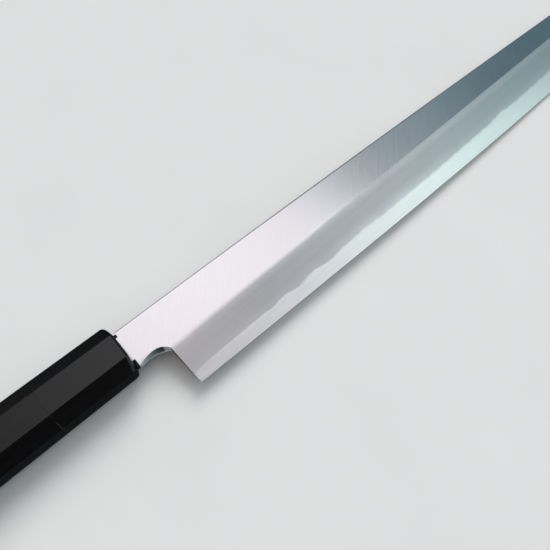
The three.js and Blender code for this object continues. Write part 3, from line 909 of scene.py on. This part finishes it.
def octagon_piece(name, tree, material, back, front, back_round, front_round, bore, dome=0.0, mouth=None):
    """A length of the handle. bore and mouth are (from, to) along X; a mouth of None cuts nothing."""
    mouth_from, mouth_to = mouth or (front + HANDLE_LENGTH, front + 2 * HANDLE_LENGTH)
    values = {
        "Back": in_row_frame((back, 0, 0)).x,
        "Front": in_row_frame((front, 0, 0)).x,
        "Back round": back_round * MM,
        "Front round": front_round * MM,
        "Front dome": dome * MM,
        "Half height": FRONT_HEIGHT / 2 * MM,
        "Half thickness": FRONT_THICKNESS / 2 * MM,
        "Half side facet": FRONT_SIDE_FACET / 2 * MM,
        "Half edge facet": FRONT_EDGE_FACET / 2 * MM,
        "Growth per metre": (BUTT_HEIGHT / FRONT_HEIGHT - 1) / (HANDLE_LENGTH * MM),
        "Axis front": origin.x,
        "Arris radius": ARRIS_RADIUS * MM,
        "Bore radius": BORE_RADIUS * MM,
        "Bore middle": in_row_frame(((bore[0] + bore[1]) / 2, 0, 0)),
        "Bore length": (bore[1] - bore[0]) * MM,
        "Mouth middle": in_row_frame(((mouth_from + mouth_to) / 2, 0, 0)),
        "Mouth size": Vector((mouth_to - mouth_from, MOUTH_HEIGHT, MOUTH_THICKNESS)) * MM,
        "Axis place": origin,
        "Material": material,
    }
    made = bpy.data.objects.new(name, bpy.data.meshes.new(name))
    bpy.context.scene.collection.objects.link(made)
    modifier = made.modifiers.new("octagon", "NODES")
    modifier.node_group = tree
    for item in tree.interface.items_tree:
        if item.in_out == "INPUT":
            modifier[item.identifier] = values[item.name]
    apply_modifiers(made)
    finish_mesh(made.data)
    # Each facet is shaded flat up to its sanded arris
    facets = made.modifiers.new("flat_facets", "WEIGHTED_NORMAL")
    facets.weight = FACET_WEIGHT
    facets.keep_sharp = True
    apply_modifiers(made)
    return made


def stand_for(piece, slot_name, *node_names):
    """Lets a finished piece move with the knife, in place of its CAD node."""
    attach(piece, "root")
    if node_names:
        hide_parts(*node_names)


satin, hazy, bright = satin_iron(), hazy_iron(), bright_steel()
buffed, filed, hollow_ground, filed_painted_light = polished_iron(), forged_iron(), hollow_steel(), arch_iron()
resin = dark_resin()

iron_rings = [tang_ring(-TANG_LENGTH, "tang"), tang_ring(0, "tang"), tang_ring(SHOULDER_GAP, "flat")]
iron_rings += [iron_ring(s) for s in [*neck_stations(), *blade_stations()]]
iron_finishes = {
    "flat": satin,
    "bevel": hazy,
    "spine": buffed,
    "arch": filed_painted_light,
    "heel": buffed,
    "tang": filed,
    "weld": filed,
}
stand_for(loft("blade_body", iron_rings, iron_finishes), "iron", "blade_iron")

steel_rings = [steel_ring(s) for s in [*neck_stations(), *blade_stations()] if s.steel > STEEL_LEAST]
steel_finishes = {
    "edge": bright,
    "rim": bright,
    "lip": lip_steel(),
    "hollow": hollow_ground,
    "spine": buffed,
    "arch": filed_painted_light,
    "heel": buffed,
    "weld": filed,
}
stand_for(loft("edge_layer", steel_rings, steel_finishes), "steel", "edge_steel")

tree = octagon_tree()
seam = -FERRULE_LENGTH
ferrule = octagon_piece(
    "horn_ferrule", tree, black_horn(), seam, 0, SEAM_BEVEL, FRONT_BEVEL,
    bore=(2 * seam, -MOUTH_WALL), dome=FRONT_DOME, mouth=(-2 * MOUTH_WALL, MOUTH_WALL),
)
stand_for(ferrule, "horn", "ferrule")
handle = octagon_piece(
    "handle_wood", tree, black_wood(), -HANDLE_LENGTH, seam - GLUE_LINE, BUTT_BEVEL, SEAM_BEVEL,
    bore=(-BORE_END, 0),
)
stand_for(handle, "ebony", "handle_body")

# Dark beads above and below the tang; the lower one is a dark piece put where the gap lies in shade
tang_low = -TANG_HEIGHT / 2 - TANG_LOWER
for name, low, high in (
    ("shade_bead_under_tang", NECK_CORNER + BEAD_GAP, tang_low - BEAD_GAP),
    ("dark_bead_over_tang", TANG_HEIGHT / 2 + BEAD_GAP, SPINE_AT_NECK - SPINE_EASE),
):
    stand_for(loft(name, bead_rings(low, high), {"bead": resin}), "resin")

for node_name, material in (("mouth_seal", resin), ("core_dowel", pale_wood())):
    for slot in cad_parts[node_name].material_slots:
        slot.material = material

# Floor. The knife is heavy at the front, so it lies on the ferrule's lower front rim and on the tip.
FLOOR_HALF = 6000
FLOOR_GAP = 0.02
rim_low = -FRONT_THICKNESS / 2 - FLOOR_GAP
floor_rise = (BACK - FLOOR_GAP - rim_low) / (BLADE_LENGTH + FRONT_BEVEL)
floor_points = [
    in_row_frame((x, y, rim_low + floor_rise * (x + FRONT_BEVEL)))
    for y in (-FLOOR_HALF, FLOOR_HALF)
    for x in (-FLOOR_HALF, FLOOR_HALF)
]
floor_mesh = bpy.data.meshes.new("floor")
floor_mesh.from_pydata(floor_points, [], [(0, 1, 3, 2)])
floor_mesh.materials.append(painted_board())
floor = bpy.data.objects.new("floor", floor_mesh)
bpy.context.scene.collection.objects.link(floor)

# Camera, fitted to the photograph's lines: 586.8 pixels of focal length in a 550-pixel frame
IMAGE_SIZE = 550
FOCAL_PIXELS = 586.79
SENSOR = 36
NEAR_CLIP = 10
CAMERA_PLACE = (1.02, -69.453, 230.568)
CAMERA_RIGHT = Vector((0.75855, -0.64898, 0.05856))
CAMERA_DOWN = Vector((-0.59485, -0.72635, -0.34435))
CAMERA_VIEW = Vector((0.26601, 0.22637, -0.93701))
camera_data = bpy.data.cameras.new("camera")
camera_data.sensor_width = SENSOR
camera_data.lens = FOCAL_PIXELS * SENSOR / IMAGE_SIZE
camera_data.clip_start = NEAR_CLIP * MM
camera = bpy.data.objects.new("camera", camera_data)
axes = Matrix((CAMERA_RIGHT, -CAMERA_DOWN, -CAMERA_VIEW)).transposed()
camera.matrix_world = Matrix.LocRotScale(in_row_frame(CAMERA_PLACE), axes.to_quaternion(), None)
bpy.context.scene.collection.objects.link(camera)
bpy.context.scene.camera = camera

# Light: a wide soft strip overhead, square to the camera's view, cooler towards the tip, with a dark card low
# on the viewer's side. Each stop is a lean along that direction, from -1 to 1, and the light's colour there.
LIGHT_STRENGTH = 1.8
BACKDROP = "#abadae"  # what is seen behind the floor: plain grey
FORWARD = Vector((CAMERA_VIEW.x, CAMERA_VIEW.y, 0)).normalized()
TIPWARD = Vector((0.977, -0.207, 0))
CARDWARD = Vector((-0.13, -0.857, 0.493))
STRIP_STOPS = (
    (-1.0, "#cfcdcf"),
    (0.1, "#d6d3d5"),
    (0.2, "#dedbdd"),
    (0.32, "#edeaec"),
    (0.46, "#efeef1"),
    (0.53, "#8f9297"),
    (0.66, "#4f5c63"),
    (1.0, "#767c7f"),
)
TIPWARD_STOPS = (
    (-1.0, "#9a9a9a"),
    (-0.5, "#868686"),
    (-0.28, "#aeadae"),
    (-0.08, "#f4f3f4"),
    (0.3, "#e1e0e1"),
    (0.53, "#eeffff"),
    (0.7, "#cdecf0"),
)
CARD_STOPS = (
    (-1.0, "#ffffff"),
    (0.6, "#ffffff"),
    (0.68, "#eeeeee"),
    (0.8, "#b5b5b5"),
    (0.89, "#777777"),
    (0.95, "#4a4a4a"),
    (1.0, "#363636"),
)
world = bpy.data.worlds.new("studio")
bpy.context.scene.world = world
world.use_nodes = True
sky = world.node_tree
ray = node(sky, "ShaderNodeTexCoord").outputs["Generated"]


def room_light(direction, stops):
    """Colour of the room's light along one direction."""
    lean = node(sky, VECTOR_MATH, {0: ray, 1: direction}, operation="DOT_PRODUCT")
    place = node(sky, RANGE, {0: lean, 1: -1.0, 2: 1.0})
    return node(sky, RAMP, {0: place}, [((lean + 1) / 2, colour) for lean, colour in stops])


lights = {0: 1.0, 6: room_light(FORWARD, STRIP_STOPS), 7: room_light(TIPWARD, TIPWARD_STOPS)}
open_room = node(sky, MIX, lights, data_type="RGBA", blend_type="MULTIPLY")
shaded = {0: 1.0, 6: open_room, 7: room_light(CARDWARD, CARD_STOPS)}
room = node(sky, MIX, shaded, data_type="RGBA", blend_type="MULTIPLY")
seen = node(sky, "ShaderNodeLightPath").outputs["Is Camera Ray"]
backdrop = node(sky, MIX, {0: seen, 6: room, 7: linear(BACKDROP)}, data_type="RGBA")
connect(sky, sky.nodes["Background"], {"Color": backdrop, "Strength": LIGHT_STRENGTH})

# Key light from beyond the knife, for the floor and the shadows: a far, broad panel that lights it all evenly
KEY_STRENGTH = 1.9
KEY_SPREAD = 35  # degrees
KEY_RISE = 0.95  # its height over its distance beyond the knife
key_data = bpy.data.lights.new("key", "SUN")
key_data.energy = KEY_STRENGTH
key_data.angle = math.radians(KEY_SPREAD)
key = bpy.data.objects.new("key", key_data)
key_from = Vector((FORWARD.x, FORWARD.y, KEY_RISE))
key.matrix_world = Matrix.LocRotScale(in_row_frame((0, 0, 0)), (-key_from).to_track_quat("-Z", "Y"), None)
key.visible_camera = False
key.visible_glossy = False
bpy.context.scene.collection.objects.link(key)

bpy.context.scene.view_settings.view_transform = "Standard"
